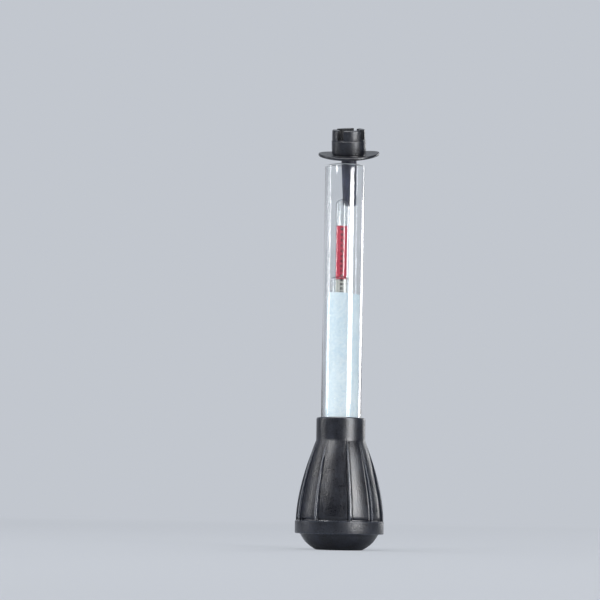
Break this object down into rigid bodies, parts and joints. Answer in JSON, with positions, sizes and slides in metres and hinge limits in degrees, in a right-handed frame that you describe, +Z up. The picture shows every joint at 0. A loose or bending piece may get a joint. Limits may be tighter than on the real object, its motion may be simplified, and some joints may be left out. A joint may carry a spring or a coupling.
{
  "type": "battery hydrometer",
  "caption": "Glass and rubber hydrometer for battery acid: squeeze bulb, clear barrel with a weighted scale float in a foam sleeve, and a flanged stopper with a nozzle.",
  "frame": {"origin": "middle of the flat foot of the rubber bulb, on the surface that the tester stands on", "axes": "+Z up along the barrel from the bulb to the stopper; the picture looks along +Y with +X to the right"},
  "size_m": [0.0472, 0.0472, 0.2262],
  "materials": {
    "bulb_rubber": "moulded black rubber, soft gloss",
    "stopper_rubber": "moulded black rubber, satin",
    "nozzle_rubber": "dark grey hard rubber, satin",
    "barrel_glass": "clear, fire-polished rims",
    "float_glass": "clear blown glass",
    "white_foam": "rolled foam sheet, matt",
    "scale_paper": "printed paper",
    "lead_shot": "dull lead",
    "sealing_wax": "red-brown wax"
  },
  "bodies": {
    "barrel_and_bulb": {"bulb": "bulb_rubber", "glass_barrel": "barrel_glass"},
    "front_wall": {"bulb_front_wall": "bulb_rubber"},
    "back_wall": {"bulb_back_wall": "bulb_rubber"},
    "sleeve": {"foam_sleeve": "white_foam"},
    "float": {"float_stem_glass": "float_glass", "float_body_glass": "float_glass", "scale_paper": "scale_paper", "ballast_wax": "sealing_wax", "ballast_shot_01": "lead_shot", "ballast_shot_02": "lead_shot", "ballast_shot_03": "lead_shot", "ballast_shot_04": "lead_shot", "ballast_shot_05": "lead_shot", "ballast_shot_06": "lead_shot", "ballast_shot_07": "lead_shot", "ballast_shot_08": "lead_shot", "ballast_shot_09": "lead_shot", "ballast_shot_10": "lead_shot", "ballast_shot_11": "lead_shot", "ballast_shot_12": "lead_shot"},
    "stopper_and_nozzle": {"stopper": "stopper_rubber", "intake_nozzle": "nozzle_rubber"}
  },
  "joints": [
    {"name": "squeeze_front", "type": "slide", "parent": "barrel_and_bulb", "child": "front_wall", "axis": [0.1685, 0.9857, 0], "range_m": [0, 0.006], "stiffness_N_per_m": 1000},
    {"name": "squeeze_back", "type": "slide", "parent": "barrel_and_bulb", "child": "back_wall", "axis": [-0.1685, -0.9857, 0], "range_m": [0, 0.006], "stiffness_N_per_m": 1000},
    {"name": "sleeve_slide", "type": "slide", "parent": "barrel_and_bulb", "child": "sleeve", "axis": [0, 0, 1], "range_m": [0, 0.04]},
    {"name": "float_slide", "type": "slide", "parent": "barrel_and_bulb", "child": "float", "axis": [0, 0, 1], "range_m": [-0.03, 0]},
    {"name": "stopper_pull", "type": "slide", "parent": "barrel_and_bulb", "child": "stopper_and_nozzle", "axis": [0, 0, 1], "range_m": [0, 0.06]}
  ],
  "couplings": [
    {"joint": "squeeze_back", "follows": "squeeze_front", "ratio": 1}
  ]
}
